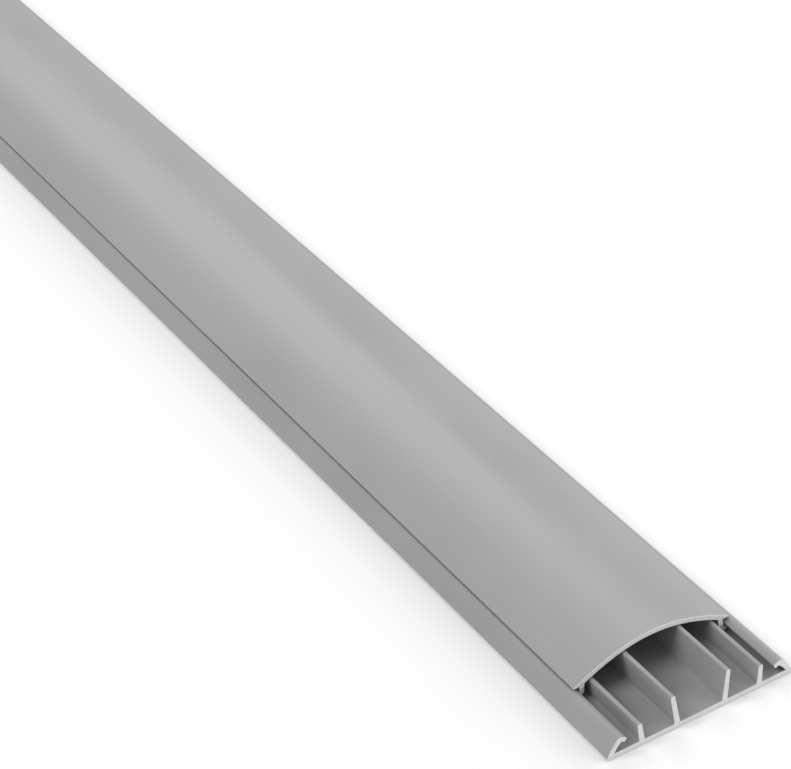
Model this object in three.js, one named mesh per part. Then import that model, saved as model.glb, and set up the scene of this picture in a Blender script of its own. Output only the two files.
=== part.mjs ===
// A floor cord cover: a ribbed base strip that lies on the floor, and an arched cover strip that clips onto
// it. Both are extrusions. The section lies in X and Z, and the length runs along Y.
// The origin is the centre of the base's underside. All sizes are in millimetres, and angles in degrees.
import * as THREE from "three";

// The strip as a whole.
const LENGTH = 2000; // each strip, as it is sold
const BASE_WIDTH = 75;
const HEIGHT = 18; // from the floor to the crown of the cover
const COVER_SETBACK = 27.6; // how far the cover is pushed back from the base's near end

// The base: a floor plate with a curved wing along each edge.
const FLOOR_THICKNESS = 2;
const HEEL_ROUNDING = 1.1; // of the long bottom edges, where the wings start
const WING_RISE = 5.5; // from the top of the floor plate to the crest of the wing
const WING_RADIUS = 16; // of its outer face
const WING_WALL = 2.1;
const CREST_INSET = 5.4; // from the base's edge to the crest
const CREST_RADIUS = 2.1; // of the bend over the crest

// The lip that runs inwards from each crest and holds the cover down.
const LIP_FALL = 30; // how steeply its top falls towards the nose
const NOSE_INSET = 7.65; // from the base's edge to the nose
const NOSE_FOOT = 1.7; // from the crest down to where the nose turns under
const NOSE_ROUNDING = 0.6;
const LIP_OPENING = 2.95; // from the top of the floor plate to the lip's point
const LIP_POINT = 0.65; // how far the point stands back from the nose
const LIP_WIDTH = 2;
const LIP_ROUNDING = 0.4;

// The ribs that part the cords and carry the cover when it is stepped on.
const INNER_RIB_PLACE = 11.2; // from the centre line to the middle of its top
const INNER_RIB_LEAN = 7.5;
const OUTER_RIB_LEAN = 5.5;
const RIB_ROOT = 2.2;
const RIB_TIP = 1.7;
const RIB_ROUNDING = 0.5;
const RIB_FILLET = 0.35;

// The cover: a shallow arch with a thin edge and a leg under each side.
const COVER_WALL = 1.9;
const COVER_INSET = 5.7; // from the base's edge to the cover's
const EDGE_THICKNESS = 0.5;
const FLANK_FLATTENING = 0.1; // 0 is a plain parabola, and more makes the flanks straighter
const LEG_WALL = 1.9;
const LEG_LEAN = 6;
const LEG_FILLET = 0.6;
const FOOT_LEAN = 45; // the foot turns outwards under the lip
const FOOT_REACH = 0.7; // how far the toe goes past the lip's point
const FOOT_LIFT = 0.6; // from the top of the floor plate to the sole
const FOOT_ROUNDING = 0.3;

// The room that the pieces leave each other.
const CLIP_CLEARANCE = 0.35; // between the leg and the lip
const EDGE_CLEARANCE = 0.55; // between the crest of the wing and the cover's edge
const RIB_CLEARANCE = 0.4; // between a rib's top and the cover
const LEG_ROOM = 2; // between the outer rib and the leg

// How finely curves are drawn.
const ARCH_STEPS = 24; // from the crown to the edge
const ARC_STEP = 6;

// Heights and places that both pieces use.
const radians = THREE.MathUtils.degToRad;
const halfWidth = BASE_WIDTH / 2;
const wingTop = FLOOR_THICKNESS + WING_RISE;
const coverHalfWidth = halfWidth - COVER_INSET;
const noseX = halfWidth - NOSE_INSET;
const lipPoint = { x: noseX + LIP_POINT, z: FLOOR_THICKNESS + LIP_OPENING };
const edgeUnderside = wingTop + EDGE_CLEARANCE;
const edgeTop = edgeUnderside + EDGE_THICKNESS;
const archRise = HEIGHT - edgeTop;

// The cover's top at a distance x from the centre line, and its slope there.
function archHeight(x) {
  const u = x / coverHalfWidth;
  return HEIGHT - archRise * ((1 + FLANK_FLATTENING) * u ** 2 - FLANK_FLATTENING * u ** 4);
}

function archSlope(x) {
  const u = x / coverHalfWidth;
  return (-archRise * (2 * (1 + FLANK_FLATTENING) * u - 4 * FLANK_FLATTENING * u ** 3)) / coverHalfWidth;
}

// The cover's underside keeps one wall thickness below its top.
const archUnderside = (x) => archHeight(x) - COVER_WALL * Math.hypot(1, archSlope(x));

// The leg's two faces at a height z. The outer one passes the foot of the lip's nose at the clip clearance.
const noseFootZ = wingTop - NOSE_FOOT;
const legOuterX = (z) => noseX - CLIP_CLEARANCE - (z - noseFootZ) * Math.tan(radians(LEG_LEAN));
const legInnerX = (z) => legOuterX(z) - LEG_WALL / Math.cos(radians(LEG_LEAN));

// A point of an outline, with the radius that rounds it. A radius of 0 keeps it sharp.
const corner = (x, z, radius = 0) => ({ x, z, radius });

// Points along an arc about a centre, between two angles in radians.
function arc(centre, radius, from, to) {
  const steps = Math.max(1, Math.ceil(Math.abs(to - from) / radians(ARC_STEP)));
  return Array.from({ length: steps + 1 }, (_, i) => {
    const angle = from + ((to - from) * i) / steps;
    return corner(centre.x + radius * Math.cos(angle), centre.z + radius * Math.sin(angle));
  });
}

// Where two lines cross, each given by a point and a direction.
function crossing(a, directionA, b, directionB) {
  const turn = directionA.x * directionB.z - directionA.z * directionB.x;
  const along = ((b.x - a.x) * directionB.z - (b.z - a.z) * directionB.x) / turn;
  return { x: a.x + along * directionA.x, z: a.z + along * directionA.z };
}

// One corner of a closed outline as points: itself when sharp, or else an arc that touches both of its edges.
function roundCorner(before, at, after) {
  if (at.radius === 0) return [new THREE.Vector2(at.x, at.z)];
  const middle = new THREE.Vector2(at.x, at.z);
  const back = new THREE.Vector2(before.x, before.z).sub(middle);
  const ahead = new THREE.Vector2(after.x, after.z).sub(middle);
  const room = 0.45 * Math.min(back.length(), ahead.length());
  back.normalize();
  ahead.normalize();
  const halfAngle = Math.acos(THREE.MathUtils.clamp(back.dot(ahead), -1, 1)) / 2;
  const setback = Math.min(at.radius / Math.tan(halfAngle), room);
  const radius = setback * Math.tan(halfAngle);
  const toCentre = back.clone().add(ahead).normalize();
  const centre = middle.clone().addScaledVector(toCentre, radius / Math.sin(halfAngle));
  const first = middle.clone().addScaledVector(back, setback).sub(centre);
  const last = middle.clone().addScaledVector(ahead, setback).sub(centre);
  const turn = Math.atan2(first.cross(last), first.dot(last));
  const steps = Math.max(2, Math.ceil(Math.abs(turn) / radians(3 * ARC_STEP)));
  return Array.from({ length: steps + 1 }, (_, i) =>
    first.clone().rotateAround(new THREE.Vector2(), (turn * i) / steps).add(centre),
  );
}

// A closed shape from the corners of its right half, mirrored about the centre line.
function symmetricShape(half) {
  const mirrored = half
    .filter((p) => p.x > 0)
    .reverse()
    .map((p) => corner(-p.x, p.z, p.radius));
  const ring = [...half, ...mirrored];
  const points = ring.flatMap((at, i) =>
    roundCorner(ring[(i + ring.length - 1) % ring.length], at, ring[(i + 1) % ring.length]),
  );
  return new THREE.Shape(points);
}

// A rib from its outer root over its top to its inner root. It leans outwards and thins towards its top.
function ribCorners(topX, lean) {
  const topZ = archUnderside(topX + RIB_TIP / 2) - RIB_CLEARANCE;
  const rootX = topX - (topZ - FLOOR_THICKNESS) * Math.tan(radians(lean));
  return [
    corner(rootX + RIB_ROOT / 2, FLOOR_THICKNESS, RIB_FILLET),
    corner(topX + RIB_TIP / 2, topZ, RIB_ROUNDING),
    corner(topX - RIB_TIP / 2, topZ, RIB_ROUNDING),
    corner(rootX - RIB_ROOT / 2, FLOOR_THICKNESS, RIB_FILLET),
  ];
}

// The point at two distances from two places, on the left of the way from the first to the second.
function pointAtDistances(a, fromA, b, fromB) {
  const way = new THREE.Vector2(b.x - a.x, b.z - a.z);
  const length = way.length();
  const along = (fromA ** 2 - fromB ** 2 + length ** 2) / (2 * length);
  const aside = Math.sqrt(fromA ** 2 - along ** 2);
  way.normalize();
  return { x: a.x + along * way.x - aside * way.y, z: a.z + along * way.y + aside * way.x };
}

// The wing: its outer face rises from the heel as an arc that runs smoothly into the bend over the crest.
// The lip falls from there to its nose, and the inner face is an arc one wall further in.
function wingCorners() {
  const heel = { x: halfWidth - HEEL_ROUNDING, z: HEEL_ROUNDING };
  const foot = { x: halfWidth, z: HEEL_ROUNDING };
  const bend = { x: halfWidth - CREST_INSET, z: wingTop - CREST_RADIUS };
  const centre = pointAtDistances(foot, WING_RADIUS, bend, WING_RADIUS - CREST_RADIUS);
  const angleTo = (point) => Math.atan2(point.z - centre.z, point.x - centre.x);
  const overCrest = arc(bend, CREST_RADIUS, angleTo(bend), radians(90 + LIP_FALL));
  const lipTop = overCrest.at(-1);
  const noseTopZ = lipTop.z - (lipTop.x - noseX) * Math.tan(radians(LIP_FALL));
  const innerRadius = WING_RADIUS - WING_WALL;
  const rootAngle = Math.acos((noseX + LIP_WIDTH - centre.x) / innerRadius);
  const floorAngle = Math.asin((FLOOR_THICKNESS - centre.z) / innerRadius);
  const [root, ...innerFace] = arc(centre, innerRadius, rootAngle, floorAngle);
  return [
    ...arc(heel, HEEL_ROUNDING, -Math.PI / 2, 0),
    ...arc(centre, WING_RADIUS, angleTo(foot), angleTo(bend)).slice(1),
    ...overCrest.slice(1),
    corner(noseX, noseTopZ, NOSE_ROUNDING),
    corner(noseX, noseFootZ, LIP_ROUNDING),
    corner(lipPoint.x, lipPoint.z, LIP_ROUNDING),
    corner(root.x, root.z, LIP_ROUNDING),
    ...innerFace,
  ];
}

function baseShape() {
  const outerRibTopZ = archUnderside(legInnerX(wingTop)) - RIB_CLEARANCE;
  const outerRibPlace = legInnerX(outerRibTopZ) - LEG_ROOM - RIB_TIP / 2;
  return symmetricShape([
    ...wingCorners(),
    ...ribCorners(outerRibPlace, OUTER_RIB_LEAN),
    ...ribCorners(INNER_RIB_PLACE, INNER_RIB_LEAN),
  ]);
}

// The leg with its foot, from the outer face round the toe to the inner face.
function legCorners() {
  const legDirection = { x: Math.sin(radians(LEG_LEAN)), z: -Math.cos(radians(LEG_LEAN)) };
  const footDirection = { x: Math.sin(radians(FOOT_LEAN)), z: -Math.cos(radians(FOOT_LEAN)) };
  const instep = {
    x: lipPoint.x - CLIP_CLEARANCE * Math.cos(radians(FOOT_LEAN)),
    z: lipPoint.z - CLIP_CLEARANCE * Math.sin(radians(FOOT_LEAN)),
  };
  const toeX = lipPoint.x + FOOT_REACH;
  const toeZ = instep.z - (toeX - instep.x) / Math.tan(radians(FOOT_LEAN));
  const soleZ = FLOOR_THICKNESS + FOOT_LIFT;
  const soleX = toeX - (toeZ - soleZ) / Math.tan(radians(FOOT_LEAN));
  const ankle = crossing({ x: legOuterX(0), z: 0 }, legDirection, instep, footDirection);
  const heel = crossing({ x: legInnerX(0), z: 0 }, legDirection, { x: soleX, z: soleZ }, footDirection);
  return [
    corner(legOuterX(edgeUnderside), edgeUnderside, FOOT_ROUNDING),
    corner(ankle.x, ankle.z, LEG_FILLET),
    corner(toeX, toeZ, FOOT_ROUNDING),
    corner(soleX, soleZ, FOOT_ROUNDING),
    corner(heel.x, heel.z, LEG_FILLET),
  ];
}

function coverShape() {
  // The leg's inner face is followed up to the underside of the arch.
  let legTopX = legInnerX(edgeTop);
  for (let i = 0; i < 5; i++) legTopX = legInnerX(archUnderside(legTopX));
  const steps = Array.from({ length: ARCH_STEPS + 1 }, (_, i) => i / ARCH_STEPS);
  const top = steps.map((share) => corner(share * coverHalfWidth, archHeight(share * coverHalfWidth)));
  const underside = steps
    .map((share) => corner(share * legTopX, archUnderside(share * legTopX)))
    .reverse();
  underside[0].radius = LEG_FILLET;
  return symmetricShape([...top, corner(coverHalfWidth, edgeUnderside), ...legCorners(), ...underside]);
}

// A strip of a section, with its middle at the origin.
function strip(name, shape, color) {
  const geometry = new THREE.ExtrudeGeometry(shape, { depth: LENGTH, bevelEnabled: false });
  geometry.rotateX(Math.PI / 2);
  geometry.translate(0, LENGTH / 2, 0);
  const material = new THREE.MeshStandardMaterial({ color, roughness: 0.5, metalness: 0 });
  const mesh = new THREE.Mesh(geometry, material);
  mesh.name = name;
  return mesh;
}

const cordCover = new THREE.Group();
const base = strip("base", baseShape(), 0x9b9b9b);
const cover = strip("cover", coverShape(), 0xa4a4a4);
cover.position.y = COVER_SETBACK;
cordCover.add(base, cover);

export default cordCover;
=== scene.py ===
# %% [markdown]
# # A floor cord cover in Blender
# Cords that cross a floor are laid in a low trunking. It is two plastic strips: a base with ribs that
# part the cords, and an arched cover that clips onto the base and can be slid along it.
# Both strips are extrusions, so each one is a single outline drawn across the strip and pulled out to
# its length. This lesson draws the outlines with bmesh operators, gives the plastic its two finishes,
# as it comes out of the die and as the saw leaves it, and lights the strips the way a catalogue does.

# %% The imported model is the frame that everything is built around
import math

import bmesh
import bpy
from mathutils import Matrix, Quaternion, Vector


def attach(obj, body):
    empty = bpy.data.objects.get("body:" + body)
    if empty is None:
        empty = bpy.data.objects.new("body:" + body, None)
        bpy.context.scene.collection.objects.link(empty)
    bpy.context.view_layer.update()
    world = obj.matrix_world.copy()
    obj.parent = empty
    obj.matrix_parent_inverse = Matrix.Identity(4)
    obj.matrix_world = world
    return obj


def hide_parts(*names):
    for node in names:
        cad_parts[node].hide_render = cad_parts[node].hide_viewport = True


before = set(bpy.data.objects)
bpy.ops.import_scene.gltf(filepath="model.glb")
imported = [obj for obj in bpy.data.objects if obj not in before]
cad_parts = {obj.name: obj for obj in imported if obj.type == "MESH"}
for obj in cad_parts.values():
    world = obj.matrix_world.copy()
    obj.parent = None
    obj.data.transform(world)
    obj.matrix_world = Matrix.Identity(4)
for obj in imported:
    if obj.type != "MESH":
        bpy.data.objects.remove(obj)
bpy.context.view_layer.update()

# %% [markdown]
# ## Sizes
# Blender works in metres, but a section like this is drawn in millimetres, so one value turns one into
# the other. The strips are 75 mm wide and 18 mm high together, and each is sold in lengths of 2 m.
# Heights are counted from the floor, and places across the strip from its centre line. A value that
# only one piece needs is named where that piece is drawn.

# %% The sizes that both strips share, in millimetres
MM = 0.001
LENGTH = 2000
WIDTH = 75
HALF_WIDTH = WIDTH / 2
HEIGHT = 18
FLOOR_THICKNESS = 2
WING_RISE = 5.5
WING_TOP = FLOOR_THICKNESS + WING_RISE

print("the wings of the base reach", WING_TOP, "mm up, of", HEIGHT, "mm in all")

# %% [markdown]
# ## The camera
# The strip is seen from its left and from well above. The camera stands 0.9 m from the end where the
# cover is pushed back, and a long lens fills the picture with the stretch next to that end. The camera
# also leans a little, so the strip falls less steeply across the picture. A camera can be turned by
# Euler angles, but with a heading, a dip and a lean it is easier to make the direction that it looks in
# and let Blender turn that into a rotation.

# %% The camera and what it looks along
CAMERA_PLACE = Vector((-385.1, -1537.2, 600.3))  # in millimetres
CAMERA_HEADING = math.radians(27.81)  # from straight along the strip, towards its right
CAMERA_DIP = math.radians(34.86)
CAMERA_LEAN = math.radians(-5.46)
LENS = 121.6
SENSOR_WIDTH = 36


def make_camera():
    """A camera at its place, looking along its heading and dip, and leaning about its line of sight."""
    camera = bpy.data.objects.new("camera", bpy.data.cameras.new("camera"))
    bpy.context.scene.collection.objects.link(camera)
    forward = Vector((
        math.sin(CAMERA_HEADING) * math.cos(CAMERA_DIP),
        math.cos(CAMERA_HEADING) * math.cos(CAMERA_DIP),
        -math.sin(CAMERA_DIP),
    ))
    camera.rotation_mode = "QUATERNION"
    camera.rotation_quaternion = forward.to_track_quat("-Z", "Y") @ Quaternion((0, 0, 1), CAMERA_LEAN)
    camera.location = CAMERA_PLACE * MM
    camera.data.lens = LENS
    camera.data.sensor_width = SENSOR_WIDTH
    bpy.context.scene.camera = camera
    return camera


print("the camera stands at", make_camera().location[:])

# %% [markdown]
# ## A pen made of bmesh operators
# An outline can be typed as a list of points, but a curve then takes dozens of them. Here one vertex is
# the pen. Extruding it draws a straight line, and spinning it about a centre draws an arc, so a section
# needs only the points that its shape turns on. The corners stay sharp while it is drawn and are
# rounded afterwards.

# %% Drawing straight lines and arcs
ARC_STEP = math.radians(3)


def pen_down(bm, x, z):
    """The first vertex of an outline."""
    return bmesh.ops.create_vert(bm, co=(x, 0, z))["vert"][0]


def line_to(bm, pen, x, z):
    """Extrudes the pen to a new place and returns the vertex there."""
    pen = bmesh.ops.extrude_vert_indiv(bm, verts=[pen])["verts"][0]
    pen.co = (x, 0, z)
    return pen


def arc_to(bm, pen, centre, end_angle):
    """Spins the pen about a centre until it stands at an angle, counted from +X towards +Z."""
    reach = pen.co - centre
    turn = end_angle - math.atan2(reach.z, reach.x)
    steps = max(1, math.ceil(abs(turn) / ARC_STEP))
    drawn = bmesh.ops.spin(
        bm, geom=[pen], cent=centre, axis=(0, -1, 0), dvec=(0, 0, 0), angle=turn, steps=steps)
    return next(part for part in drawn["geom_last"] if isinstance(part, bmesh.types.BMVert))


trial = bmesh.new()
arc_end = arc_to(trial, pen_down(trial, 1, 0), Vector((0, 0, 0)), math.pi / 2)
print("a quarter turn takes", len(trial.edges), "steps and ends at height", round(arc_end.co.z, 3))
trial.free()

# %% [markdown]
# ## The curve of the arch
# The cover isn't part of a circle: its crown is round and its flanks run nearly straight down to the
# edges, so that a foot or a wheel meets a ramp. A parabola that is flattened a little towards its ends
# gives that curve. The underside keeps one wall below it, and the tops of the ribs follow the
# underside. The thin edge ends over the crest of the wing, with a little room between the two.

# %% The height of the arch and of its underside
COVER_WALL = 1.9
COVER_INSET = 5.7
COVER_EDGE_X = HALF_WIDTH - COVER_INSET
EDGE_THICKNESS = 0.5
EDGE_CLEARANCE = 0.55
EDGE_UNDERSIDE = WING_TOP + EDGE_CLEARANCE
EDGE_TOP = EDGE_UNDERSIDE + EDGE_THICKNESS
ARCH_RISE = HEIGHT - EDGE_TOP
FLANK_FLATTENING = 0.1  # 0 is a plain parabola, and more makes the flanks straighter


def arch_height(x):
    """The top of the cover at a distance from the centre line."""
    share = x / COVER_EDGE_X
    return HEIGHT - ARCH_RISE * ((1 + FLANK_FLATTENING) * share**2 - FLANK_FLATTENING * share**4)


def arch_slope(x):
    """How steeply the top falls there."""
    share = x / COVER_EDGE_X
    fall = 2 * (1 + FLANK_FLATTENING) * share - 4 * FLANK_FLATTENING * share**3
    return ARCH_RISE * fall / COVER_EDGE_X


def arch_underside(x):
    """The underside, one wall thickness away from the top."""
    return arch_height(x) - COVER_WALL * math.hypot(1, arch_slope(x))


print("the arch rises", round(ARCH_RISE, 2), "mm above its edges")

# %% [markdown]
# ## The clip
# Along each wing of the base a lip hangs inwards. Its nose and its point hold the cover down, because
# the cover's leg passes them with a small clearance and hooks its foot under the point. The lip belongs
# to the base and the leg to the cover, so what they share is worked out first, from the same values.

# %% The lip's nose and point, and the two faces of the leg
NOSE_INSET = 7.65
NOSE_X = HALF_WIDTH - NOSE_INSET
NOSE_DROP = 1.7
NOSE_FOOT = WING_TOP - NOSE_DROP
POINT_SETBACK = 0.65
LIP_OPENING = 2.95
LIP_POINT = Vector((NOSE_X + POINT_SETBACK, 0, FLOOR_THICKNESS + LIP_OPENING))
CLIP_CLEARANCE = 0.35
LEG_WALL = 1.9
LEG_LEAN = math.radians(6)


def leg_outer_x(z):
    """The leg's outer face, which passes the foot of the lip's nose with the clip's clearance."""
    return NOSE_X - CLIP_CLEARANCE - (z - NOSE_FOOT) * math.tan(LEG_LEAN)


def leg_inner_x(z):
    """The leg's inner face, one wall further in."""
    return leg_outer_x(z) - LEG_WALL / math.cos(LEG_LEAN)


print("beside the nose the leg is", round(leg_outer_x(NOSE_FOOT), 2), "mm from the centre line")

# %% [markdown]
# ## From half an outline to a strip
# The section is the same left and right, so only its right half is drawn. The steps after that are the
# same for both strips: round the marked corners with a vertex bevel, mirror the half, fill the ring
# with one face and extrude that face along the strip. Bevelling before mirroring means each fillet is
# made once. A saw leaves no razor edge, so each sawn end gets a hair-thin chamfer, which catches a line
# of light. It is an inset of the end face whose outer ring is then drawn back a little.

# %% Rounding the corners of a drawn outline
CORNER_STEPS = 5
ROOM_SHARE = 0.45  # the most of a side that one rounding may take


def round_corners(bm, marked):
    """Bevels each marked vertex so that its rounding has the radius it is marked with."""
    for vert, radius in marked:
        along = [edge.other_vert(vert).co - vert.co for edge in vert.link_edges]
        half_angle = along[0].angle(along[1]) / 2
        room = ROOM_SHARE * min(side.length for side in along)
        setback = min(radius / math.tan(half_angle), room)
        bmesh.ops.bevel(
            bm, geom=[vert], offset=setback, offset_type="OFFSET", affect="VERTICES",
            segments=CORNER_STEPS, profile=0.5, material=-1, clamp_overlap=True)


print("each corner is rounded in", CORNER_STEPS, "steps")

# %% Mirroring, filling and pulling the strip out
MERGE_DISTANCE = 0.001


def strip_from_half_outline(bm, near_end):
    """Turns a half outline in the XZ plane into a closed strip that starts at a place along Y."""
    bmesh.ops.mirror(
        bm, geom=bm.verts[:] + bm.edges[:], matrix=Matrix(), merge_dist=MERGE_DISTANCE, axis="X")
    bmesh.ops.remove_doubles(bm, verts=bm.verts[:], dist=MERGE_DISTANCE)
    section = bmesh.ops.contextual_create(bm, geom=bm.edges[:])["faces"]
    bmesh.ops.translate(bm, verts=bm.verts[:], vec=(0, near_end, 0))
    pulled = bmesh.ops.extrude_face_region(bm, geom=section)["geom"]
    far_verts = [part for part in pulled if isinstance(part, bmesh.types.BMVert)]
    bmesh.ops.translate(bm, verts=far_verts, vec=(0, LENGTH, 0))
    bmesh.ops.recalc_face_normals(bm, faces=bm.faces[:])
    print("the section has", len(far_verts), "points")


# %% Cutting the ends
CHAMFER = 0.12


def chamfer_sawn_ends(bm):
    """Insets both end faces, draws their outer rings back, and gives the ends the second material."""
    # The long faces have four corners each, so whatever has more is an end.
    ends = [face for face in bm.faces if len(face.verts) > 4]
    for end in ends:
        outwards = math.copysign(1, end.normal.y)
        bmesh.ops.inset_region(bm, faces=[end], thickness=CHAMFER, use_even_offset=True)
        chamfer = {face for edge in end.edges for face in edge.link_faces} - {end}
        rim = {vert for face in chamfer for vert in face.verts} - set(end.verts)
        bmesh.ops.translate(bm, verts=list(rim), vec=(0, -outwards * CHAMFER, 0))
        for face in chamfer | {end}:
            face.material_index = 1
    print("chamfered", len(ends), "sawn ends")


# %% Making the Blender object
SHARP_ANGLE = math.radians(30)


def finish_strip(bm, name, near_end):
    """Writes the strip as an object in metres, in its place, smooth but for its sharp edges."""
    strip_from_half_outline(bm, near_end)
    chamfer_sawn_ends(bm)
    bmesh.ops.scale(bm, vec=(MM, MM, MM), verts=bm.verts[:])
    mesh = bpy.data.meshes.new(name)
    bm.to_mesh(mesh)
    bm.free()
    mesh.shade_smooth()
    mesh.set_sharp_from_angle(angle=SHARP_ANGLE)
    strip = bpy.data.objects.new(name, mesh)
    bpy.context.scene.collection.objects.link(strip)
    print(name, "has", len(mesh.vertices), "vertices and", len(mesh.polygons), "faces")
    return strip


# %% [markdown]
# ## The base
# The outline starts under the middle of the strip and runs along the floor to the rounded heel. There
# the wing's outer face rises as a wide arc. It runs smoothly into a tight one over the crest, so both
# arcs have to touch: their centres and the point where they meet lie on one line. The inner face is an
# arc about the wide arc's centre, one wall further in, so the wing has the same thickness all the way,
# as an extruded wall must. Then come the two ribs of this half. They lean outwards, thin towards their
# tops and end just short of the cover, which rests on them when somebody steps on it.

# %% The arcs of the wing
HEEL_ROUNDING = 1.1
WING_RADIUS = 16
CREST_INSET = 5.4
CREST_RADIUS = 2.1
HEEL = Vector((HALF_WIDTH - HEEL_ROUNDING, 0, HEEL_ROUNDING))
BEND = Vector((HALF_WIDTH - CREST_INSET, 0, WING_TOP - CREST_RADIUS))


def find_wing_centre(foot, bend):
    """The centre of the wide arc, which starts at the wing's foot and touches the bend over the crest."""
    way = bend - foot
    bend_distance = WING_RADIUS - CREST_RADIUS
    along = (WING_RADIUS**2 - bend_distance**2 + way.length_squared) / (2 * way.length)
    aside = math.sqrt(WING_RADIUS**2 - along**2)
    way.normalize()
    return foot + along * way + aside * Vector((-way.z, 0, way.x))


WING_CENTRE = find_wing_centre(Vector((HALF_WIDTH, 0, HEEL_ROUNDING)), BEND)
print("the wing turns about x", round(WING_CENTRE.x, 2), "and z", round(WING_CENTRE.z, 2))

# %% Drawing the wing and its lip
WING_WALL = 2.1
INNER_RADIUS = WING_RADIUS - WING_WALL
LIP_FALL = math.radians(30)
LIP_WIDTH = 2
LIP_ROUNDING = 0.4
NOSE_ROUNDING = 0.6


def draw_wing(bm, pen):
    """Draws from the underside round the heel, up the outer face and over the crest."""
    pen = arc_to(bm, line_to(bm, pen, HEEL.x, 0), HEEL, 0)
    pen = arc_to(bm, pen, WING_CENTRE, math.atan2(BEND.z - WING_CENTRE.z, BEND.x - WING_CENTRE.x))
    return arc_to(bm, pen, BEND, math.pi / 2 + LIP_FALL)


def draw_lip(bm, pen, marked):
    """Draws down the nose, under the lip and down the wing's inner face to the floor plate."""
    nose_top = pen.co.z - (pen.co.x - NOSE_X) * math.tan(LIP_FALL)
    root_angle = math.acos((NOSE_X + LIP_WIDTH - WING_CENTRE.x) / INNER_RADIUS)
    root = WING_CENTRE + INNER_RADIUS * Vector((math.cos(root_angle), 0, math.sin(root_angle)))
    for x, z, radius in (
        (NOSE_X, nose_top, NOSE_ROUNDING),
        (NOSE_X, NOSE_FOOT, LIP_ROUNDING),
        (LIP_POINT.x, LIP_POINT.z, LIP_ROUNDING),
        (root.x, root.z, LIP_ROUNDING),
    ):
        pen = line_to(bm, pen, x, z)
        marked.append((pen, radius))
    return arc_to(bm, pen, WING_CENTRE, math.asin((FLOOR_THICKNESS - WING_CENTRE.z) / INNER_RADIUS))


print("the wing's wall is", WING_WALL, "mm thick, and the lip is", LIP_WIDTH, "mm wide")

# %% The ribs
RIB_ROOT = 2.2
RIB_TIP = 1.7
RIB_ROUNDING = 0.5
RIB_FILLET = 0.35
RIB_CLEARANCE = 0.4
LEG_ROOM = 2


def draw_rib(bm, pen, top_x, lean, marked):
    """Draws a rib from its outer root over its top to its inner root."""
    top_z = arch_underside(top_x + RIB_TIP / 2) - RIB_CLEARANCE
    root_x = top_x - (top_z - FLOOR_THICKNESS) * math.tan(lean)
    for x, z, radius in (
        (root_x + RIB_ROOT / 2, FLOOR_THICKNESS, RIB_FILLET),
        (top_x + RIB_TIP / 2, top_z, RIB_ROUNDING),
        (top_x - RIB_TIP / 2, top_z, RIB_ROUNDING),
        (root_x - RIB_ROOT / 2, FLOOR_THICKNESS, RIB_FILLET),
    ):
        pen = line_to(bm, pen, x, z)
        marked.append((pen, radius))
    return pen


def outer_rib_place():
    """The middle of the outer rib's top, which leaves the cover's leg its room."""
    top_z = arch_underside(leg_inner_x(WING_TOP)) - RIB_CLEARANCE
    return leg_inner_x(top_z) - LEG_ROOM - RIB_TIP / 2


print("the outer rib's top is", round(outer_rib_place(), 2), "mm from the centre line")

# %% The whole base
BASE_NEAR_END = -LENGTH / 2
OUTER_RIB_LEAN = math.radians(5.5)
INNER_RIB_LEAN = math.radians(7.5)
INNER_RIB_PLACE = 11.2


def make_base():
    """The base strip."""
    bm = bmesh.new()
    marked = []
    pen = draw_wing(bm, pen_down(bm, 0, 0))
    pen = draw_lip(bm, pen, marked)
    pen = draw_rib(bm, pen, outer_rib_place(), OUTER_RIB_LEAN, marked)
    pen = draw_rib(bm, pen, INNER_RIB_PLACE, INNER_RIB_LEAN, marked)
    line_to(bm, pen, 0, FLOOR_THICKNESS)
    round_corners(bm, marked)
    return finish_strip(bm, "base_strip", BASE_NEAR_END)


base_strip = make_base()

# %% [markdown]
# ## The cover
# The outline starts at the crown and follows the arch down to its thin edge. From there it goes back
# under the flank, down the leg to the foot, which turns outwards to hook under the lip, and up again to
# the underside. The arch is a formula, so the pen follows it in short steps. They are short enough to
# look smooth when shaded.

# %% A line that follows a curve
ARCH_STEPS = 48


def curve_to(bm, pen, end_x, height_at):
    """Draws a curve by its formula, in equal steps across the strip."""
    start_x = pen.co.x
    for step in range(1, ARCH_STEPS + 1):
        x = start_x + (end_x - start_x) * step / ARCH_STEPS
        pen = line_to(bm, pen, x, height_at(x))
    return pen


print("the arch is drawn in steps of", round(COVER_EDGE_X / ARCH_STEPS, 2), "mm")

# %% The corners of the foot
LEG_FILLET = 0.6
FOOT_LEAN = math.radians(45)
FOOT_REACH = 0.7
FOOT_LIFT = 0.6
FOOT_ROUNDING = 0.3


def crossing(point_a, direction_a, point_b, direction_b):
    """Where two lines in the XZ plane cross."""
    turn = direction_a.x * direction_b.z - direction_a.z * direction_b.x
    apart = point_b - point_a
    return point_a + direction_a * ((apart.x * direction_b.z - apart.z * direction_b.x) / turn)


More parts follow.
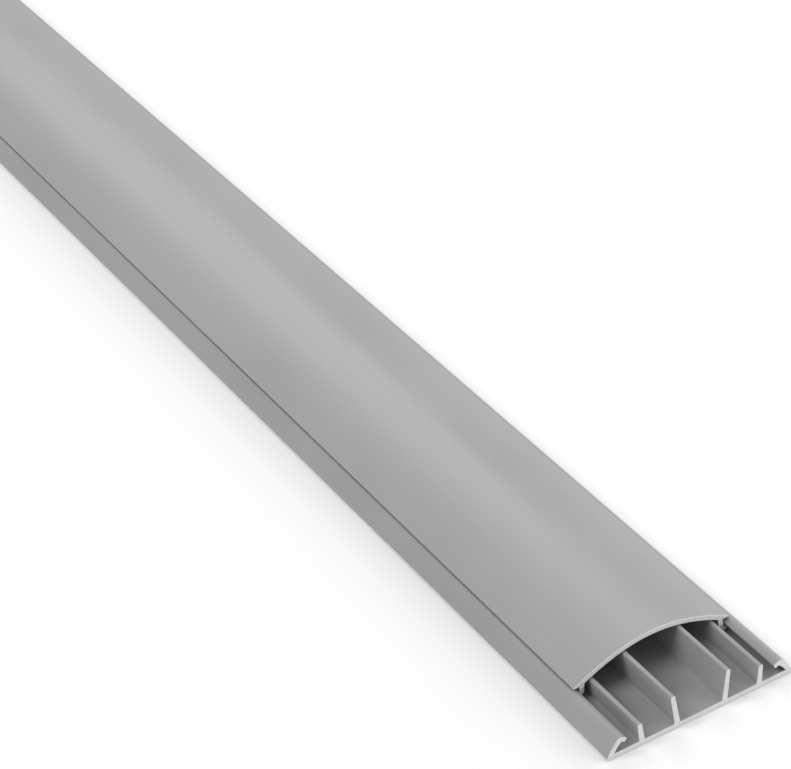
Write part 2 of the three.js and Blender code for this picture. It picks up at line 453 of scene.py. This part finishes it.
def foot_corners():
    """The ankle, the toe, the sole and the heel, each with the radius that rounds it."""
    down_leg = Vector((math.sin(LEG_LEAN), 0, -math.cos(LEG_LEAN)))
    down_foot = Vector((math.sin(FOOT_LEAN), 0, -math.cos(FOOT_LEAN)))
    instep = LIP_POINT - CLIP_CLEARANCE * Vector((math.cos(FOOT_LEAN), 0, math.sin(FOOT_LEAN)))
    toe_x = LIP_POINT.x + FOOT_REACH
    toe = Vector((toe_x, 0, instep.z - (toe_x - instep.x) / math.tan(FOOT_LEAN)))
    sole_z = FLOOR_THICKNESS + FOOT_LIFT
    sole = Vector((toe.x - (toe.z - sole_z) / math.tan(FOOT_LEAN), 0, sole_z))
    ankle = crossing(Vector((leg_outer_x(0), 0, 0)), down_leg, instep, down_foot)
    heel = crossing(Vector((leg_inner_x(0), 0, 0)), down_leg, sole, down_foot)
    return (ankle, LEG_FILLET), (toe, FOOT_ROUNDING), (sole, FOOT_ROUNDING), (heel, LEG_FILLET)


print("the foot reaches", FOOT_REACH, "mm past the lip's point,", FOOT_LIFT, "mm above the floor plate")

# %% The leg
FITTING_ROUNDS = 5


def leg_root():
    """Where the leg's inner face meets the underside, found by going to and fro between the two."""
    x = leg_inner_x(EDGE_TOP)
    for _ in range(FITTING_ROUNDS):
        x = leg_inner_x(arch_underside(x))
    return Vector((x, 0, arch_underside(x)))


def draw_leg(bm, pen, marked):
    """Draws from the edge's underside down the leg, round the foot and back up to the arch."""
    shoulder = Vector((leg_outer_x(EDGE_UNDERSIDE), 0, EDGE_UNDERSIDE))
    for place, radius in ((shoulder, FOOT_ROUNDING), *foot_corners(), (leg_root(), LEG_FILLET)):
        pen = line_to(bm, pen, place.x, place.z)
        marked.append((pen, radius))
    return pen


print("the leg meets the arch", round(leg_root().z, 2), "mm above the floor")

# %% The whole cover
COVER_SETBACK = 27.6


def make_cover():
    """The cover strip, which starts further back than the base."""
    bm = bmesh.new()
    marked = []
    pen = curve_to(bm, pen_down(bm, 0, HEIGHT), COVER_EDGE_X, arch_height)
    pen = line_to(bm, pen, COVER_EDGE_X, EDGE_UNDERSIDE)
    pen = draw_leg(bm, pen, marked)
    curve_to(bm, pen, 0, arch_underside)
    round_corners(bm, marked)
    return finish_strip(bm, "cover_strip", BASE_NEAR_END + COVER_SETBACK)


cover_strip = make_cover()

# %% [markdown]
# ## Materials
# Both strips are rigid PVC, coloured grey all the way through, and show two finishes. The long faces
# come out of a steel die and a water-cooled calibrator: smooth and satin, with very faint lines along
# the length where the die is worn. The ends are sawn, which turns the plastic paler and dull and leaves
# fine scratches and grains. Their pale grey is partly that whitening and partly painted light, which
# stands in for the light that falls on the end faces. A texture image would have to be unwrapped along
# 2 m, so the patterns are procedural and read Object coordinates. Colours are written as the sRGB hex
# values that a colour picker shows, and Blender's sockets want linear light.

# %% Two helpers: a colour and a node
def linear(hex_colour):
    """An sRGB hex value as the linear colour that a socket takes, fully opaque."""
    channels = [int(hex_colour[i:i + 2], 16) / 255 for i in (1, 3, 5)]
    return [c / 12.92 if c <= 0.04045 else ((c + 0.055) / 1.055) ** 2.4 for c in channels] + [1]


def add_node(tree, kind, settings=None, links=None):
    """Adds a node, sets its properties and sockets by name, and links sockets into it."""
    node = tree.nodes.new(kind)
    for name, value in (settings or {}).items():
        if name in node.inputs:
            node.inputs[name].default_value = value
        else:
            setattr(node, name, value)
    for name, socket in (links or {}).items():
        tree.links.new(socket, node.inputs[name])
    return node


print("a middle grey, #808080, is", round(linear("#808080")[0], 3), "in linear light")

# %% What both finishes start from
PVC_IOR = 1.53  # as for most rigid PVC


def rigid_pvc(name):
    """A new material that reflects as rigid PVC does, its shader, and the place on the surface."""
    material = bpy.data.materials.new(name)
    material.use_nodes = True
    shader = material.node_tree.nodes["Principled BSDF"]
    shader.inputs["IOR"].default_value = PVC_IOR
    place = add_node(material.node_tree, "ShaderNodeTexCoord").outputs["Object"]
    return material, shader, place


def per_metre(size_mm):
    """The scale of a pattern whose features are this many millimetres apart."""
    return 1 / (size_mm * MM)


print("features 1 mm apart take a scale of", per_metre(1))

# %% [markdown]
# ## Extruded PVC
# The die lines are a noise that is drawn out along the strip, about a millimetre apart. Real ones are
# finer than a pixel, so these are as coarse as they need to be to show. A second, slower noise makes
# the sheen and the grey wander a little, as the cooling of the strip does, and a fine one gives the
# skin its slight grain. The cover is the smooth strip of the two: its grain is faint, and the base's is
# plain to see between the ribs.

# %% Die lines and skin grain
DIE_LINE_SPACING = 1.1
DIE_LINE_STRETCH = 250  # how many times as long as wide a line is
DIE_LINE_DEPTH = 0.05
DIE_LINE_STRENGTH = 0.12
SKIN_GRAIN = 0.6
SKIN_GRAIN_DEPTH = 0.04


def die_lines(tree, place):
    """The faint lines along the strip, as a noise."""
    drawn_out = add_node(
        tree, "ShaderNodeMapping", {"Scale": (1, 1 / DIE_LINE_STRETCH, 1)}, {"Vector": place})
    lines = add_node(
        tree, "ShaderNodeTexNoise",
        {"Scale": per_metre(DIE_LINE_SPACING), "Detail": 3, "Roughness": 0.6},
        {"Vector": drawn_out.outputs["Vector"]})
    return lines.outputs["Fac"]


def skin_relief(tree, place, lines, grain_strength):
    """The relief of the lines and the grain, as a normal for the shader."""
    grain = add_node(
        tree, "ShaderNodeTexNoise", {"Scale": per_metre(SKIN_GRAIN), "Detail": 2}, {"Vector": place})
    lined = add_node(
        tree, "ShaderNodeBump", {"Strength": DIE_LINE_STRENGTH, "Distance": DIE_LINE_DEPTH * MM},
        {"Height": lines})
    grained = add_node(
        tree, "ShaderNodeBump", {"Strength": grain_strength, "Distance": SKIN_GRAIN_DEPTH * MM},
        {"Height": grain.outputs["Fac"], "Normal": lined.outputs["Normal"]})
    return grained.outputs["Normal"]


print("the die lines take a noise scale of", round(per_metre(DIE_LINE_SPACING)))

# %% The wandering of grey and sheen
COOLING_PATCH = 60
LINE_SHARE = 0.45  # of the lines in the mottle, and the rest is cooling patches


def cooling_mottle(tree, place, lines):
    """Slow patches with the die lines in them, as one noise."""
    patches = add_node(
        tree, "ShaderNodeTexNoise", {"Scale": per_metre(COOLING_PATCH), "Detail": 2}, {"Vector": place})
    mottle = add_node(
        tree, "ShaderNodeMix", {"data_type": "FLOAT", "Factor": LINE_SHARE},
        {"A": patches.outputs["Fac"], "B": lines})
    return mottle.outputs["Result"]


print("the cooling patches take a noise scale of", round(per_metre(COOLING_PATCH), 1))

# %% The finish of the long faces
SKIN_RANGE = (0.3, 0.7)  # where most values of the mottle lie
SHEEN_SPREAD = 0.04  # how far the roughness wanders each way


def extruded_pvc(name, tones, roughness, grain_strength):
    """Rigid PVC as it leaves the calibrator: satin, with faint lines along the strip."""
    material, shader, place = rigid_pvc(name)
    tree = material.node_tree
    lines = die_lines(tree, place)
    mottle = cooling_mottle(tree, place, lines)
    colour = add_node(tree, "ShaderNodeValToRGB", links={"Fac": mottle})
    for stop, position, tone in zip(colour.color_ramp.elements, SKIN_RANGE, tones):
        stop.position = position
        stop.color = linear(tone)
    sheen = add_node(
        tree, "ShaderNodeMapRange",
        {"From Min": SKIN_RANGE[0], "From Max": SKIN_RANGE[1],
         "To Min": roughness - SHEEN_SPREAD, "To Max": roughness + SHEEN_SPREAD},
        {"Value": mottle})
    tree.links.new(colour.outputs["Color"], shader.inputs["Base Color"])
    tree.links.new(sheen.outputs["Result"], shader.inputs["Roughness"])
    tree.links.new(skin_relief(tree, place, lines, grain_strength), shader.inputs["Normal"])
    return material


cover_skin = extruded_pvc("extruded_pvc_cover", ("#9E9E9E", "#A4A4A4"), 0.41, grain_strength=0.1)
base_skin = extruded_pvc("extruded_pvc_base", ("#959595", "#9E9E9E"), 0.5, grain_strength=0.7)
print("a skin has", len(base_skin.node_tree.nodes), "nodes")

# %% [markdown]
# ## Sawn PVC
# A fine-toothed blade whitens the plastic and drags across it, and the pale tones here are partly
# painted light on the end faces as well. The scratches run slantwise, so the place that the noise reads
# is turned first. Then it is squeezed one way, which draws the noise out. Grains of torn plastic sit
# between the scratches. Both are drawn coarser than they are on the real face, so that they show. The
# cover's plastic is a little paler than the base's. Its sawn ends are painted paler than the base's
# sawn ends too, as painted light that makes up for the shade on them.

# %% Scratches and grains
SAW_LINE_SPACING = 0.45
SAW_LINE_SQUEEZE = 0.12  # which makes a scratch about eight times as long as it is wide
SAW_SLANT = math.radians(62)
SAW_GRAIN = 0.25
SAW_GRAIN_SHARE = 0.45  # of the grains in the marks, and the rest is scratches


def saw_marks(tree, place):
    """Slanting scratches with grains between them, as one noise."""
    turned = add_node(tree, "ShaderNodeMapping", {"Rotation": (0, SAW_SLANT, 0)}, {"Vector": place})
    squeezed = add_node(
        tree, "ShaderNodeMapping", {"Scale": (SAW_LINE_SQUEEZE, 1, 1)},
        {"Vector": turned.outputs["Vector"]})
    scratches = add_node(
        tree, "ShaderNodeTexNoise",
        {"Scale": per_metre(SAW_LINE_SPACING), "Detail": 3, "Roughness": 0.65},
        {"Vector": squeezed.outputs["Vector"]})
    grain = add_node(
        tree, "ShaderNodeTexNoise", {"Scale": per_metre(SAW_GRAIN), "Detail": 2}, {"Vector": place})
    marks = add_node(
        tree, "ShaderNodeMix", {"data_type": "FLOAT", "Factor": SAW_GRAIN_SHARE},
        {"A": scratches.outputs["Fac"], "B": grain.outputs["Fac"]})
    return marks.outputs["Result"]


print("the scratches take a noise scale of", round(per_metre(SAW_LINE_SPACING)))

# %% The finish of the sawn ends
SAWN_ROUGHNESS = 0.72
SAW_MARK_DEPTH = 0.08
SAW_MARK_STRENGTH = 0.35
SAW_RANGE = (0.35, 0.65)  # where most values of the marks lie


def sawn_pvc(name, tones):
    """Rigid PVC as the saw leaves it: dull, with slanting scratches, and pale partly as painted light."""
    material, shader, place = rigid_pvc(name)
    tree = material.node_tree
    marks = saw_marks(tree, place)
    shader.inputs["Roughness"].default_value = SAWN_ROUGHNESS
    colour = add_node(tree, "ShaderNodeValToRGB", links={"Fac": marks})
    for stop, position, tone in zip(colour.color_ramp.elements, SAW_RANGE, tones):
        stop.position = position
        stop.color = linear(tone)
    relief = add_node(
        tree, "ShaderNodeBump", {"Strength": SAW_MARK_STRENGTH, "Distance": SAW_MARK_DEPTH * MM},
        {"Height": marks})
    tree.links.new(colour.outputs["Color"], shader.inputs["Base Color"])
    tree.links.new(relief.outputs["Normal"], shader.inputs["Normal"])
    return material


# painted light: the cover's sawn ends are painted paler than the base's to make up for the shade on them,
# on top of the pale of sawn PVC
cover_end = sawn_pvc("sawn_pvc_cover_painted_light", ("#DCDCDC", "#F4F4F4"))
# painted light: the base's sawn ends are pale partly from the saw's whitening and partly as painted light
# on the end faces
base_end = sawn_pvc("sawn_pvc_base_painted_light", ("#D2D2D2", "#ECECEC"))
print("a sawn end has", len(base_end.node_tree.nodes), "nodes")

# %% [markdown]
# ## Dressing the strips
# A mesh can hold several materials, and each face says by its number which one it wears. The chamfered
# ends were given number 1 when they were cut. Every other face has number 0, so the skin comes first.

# %% Each strip gets its skin and its sawn ends
for strip, skin, sawn_end in ((cover_strip, cover_skin, cover_end), (base_strip, base_skin, base_end)):
    strip.data.materials.append(skin)
    strip.data.materials.append(sawn_end)
    print(strip.name, "wears", skin.name, "and", sawn_end.name)

# %% [markdown]
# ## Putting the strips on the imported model
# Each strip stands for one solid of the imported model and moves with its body, so the cover can slide.

# %% Each strip takes its solid's place
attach(base_strip, "base")
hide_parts("base")
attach(cover_strip, "cover")
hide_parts("cover")
print(base_strip.name, "rides on base, and", cover_strip.name, "rides on cover")

# %% [markdown]
# ## The floor
# The strip lies on a white sweep. The floor plane stays a tenth of a millimetre below the underside,
# because two faces in the very same place flicker in a render.

# %% A pale floor
FLOOR_GAP = 0.1
FLOOR_REACH = 12  # in metres, each way from the middle of the strip


def make_floor():
    """A large plane just under the strip."""
    bm = bmesh.new()
    bmesh.ops.create_grid(bm, x_segments=1, y_segments=1, size=FLOOR_REACH)
    bmesh.ops.translate(bm, verts=bm.verts[:], vec=(0, 0, -FLOOR_GAP * MM))
    mesh = bpy.data.meshes.new("floor")
    bm.to_mesh(mesh)
    bm.free()
    paint = bpy.data.materials.new("white_sweep")
    paint.use_nodes = True
    shader = paint.node_tree.nodes["Principled BSDF"]
    shader.inputs["Base Color"].default_value = linear("#F9F9F9")
    shader.inputs["Roughness"].default_value = 0.8
    shader.inputs["Specular IOR Level"].default_value = 0.2
    mesh.materials.append(paint)
    floor = bpy.data.objects.new("floor", mesh)
    bpy.context.scene.collection.objects.link(floor)
    return floor


make_floor()
print("the floor lies", FLOOR_GAP, "mm under the strip")

# %% [markdown]
# ## The light
# A catalogue picture is lit by softboxes, and exposed until the sweep is white. The strongest one here
# is large and stands high on the left. A low one on the right gives the soft shadow along the left
# edge, and a small one beside the near end makes the sawn faces the brightest part. It stands to the
# side, so that it doesn't shine in under the cover. The one behind the far end is what the satin crown
# reflects, and the world's even light fills the rest, as white walls do.

# %% Softboxes
NEAR_STRETCH = (0, -0.8, 0)  # in metres, a spot 200 mm in from the near end
SAWN_END = (0, -0.95, 0)


def softbox(name, place, target, size, watts):
    """A rectangular area light at a place in metres, facing a target."""
    light = bpy.data.lights.new(name, "AREA")
    light.shape = "RECTANGLE"
    light.size, light.size_y = size
    light.energy = watts
    lamp = bpy.data.objects.new(name, light)
    bpy.context.scene.collection.objects.link(lamp)
    lamp.location = place
    lamp.rotation_mode = "QUATERNION"
    aim = Vector(target) - Vector(place)
    lamp.rotation_quaternion = aim.to_track_quat("-Z", "Y")
    print(name, "stands", round(aim.length, 2), "m from what it lights")


softbox("right_softbox", place=(2.2, -0.8, 0.8), target=NEAR_STRETCH, size=(2.0, 0.8), watts=18)
softbox("left_softbox", place=(-1.6, -0.6, 2.0), target=NEAR_STRETCH, size=(1.5, 1.5), watts=31)
softbox("end_softbox", place=(1.1, -1.9, 0.7), target=SAWN_END, size=(0.8, 0.6), watts=7)
softbox("back_softbox", place=(0.75, 1.5, 1.9), target=NEAR_STRETCH, size=(1.8, 1.2), watts=20)

# %% The world's even light
WORLD_STRENGTH = 0.42

world = bpy.data.worlds.new("white_studio")
world.use_nodes = True
background = world.node_tree.nodes["Background"]
background.inputs["Color"].default_value = linear("#FFFFFF")
background.inputs["Strength"].default_value = WORLD_STRENGTH
bpy.context.scene.world = world
bpy.context.scene.view_settings.view_transform = "Standard"
print("the world shines at", WORLD_STRENGTH)
